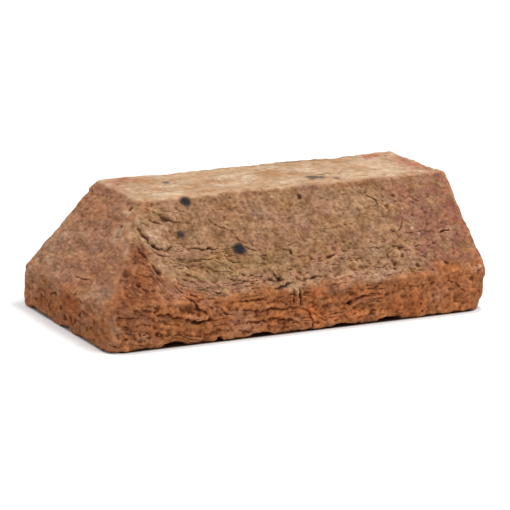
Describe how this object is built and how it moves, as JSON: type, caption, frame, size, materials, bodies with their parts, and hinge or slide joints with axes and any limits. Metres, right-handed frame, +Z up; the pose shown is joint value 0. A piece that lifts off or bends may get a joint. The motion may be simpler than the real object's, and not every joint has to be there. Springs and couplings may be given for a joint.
{
  "type": "clay plinth return brick",
  "caption": "Solid fired clay brick with an upright band and splays on its long front and left end, for turning the outer corner of a plinth course.",
  "frame": {"origin": "middle of the bed, the flat underside, on the surface that the brick lies on", "axes": "+X along the length towards the plain end; +Y towards the plain back, so the long splay faces -Y; +Z up, from the bed to the top face"},
  "size_m": [0.228, 0.11, 0.067],
  "materials": {
    "fired_clay": "matt, sandy, buff to orange-red"
  },
  "bodies": {
    "root": {"brick": "fired_clay"}
  },
  "joints": []
}
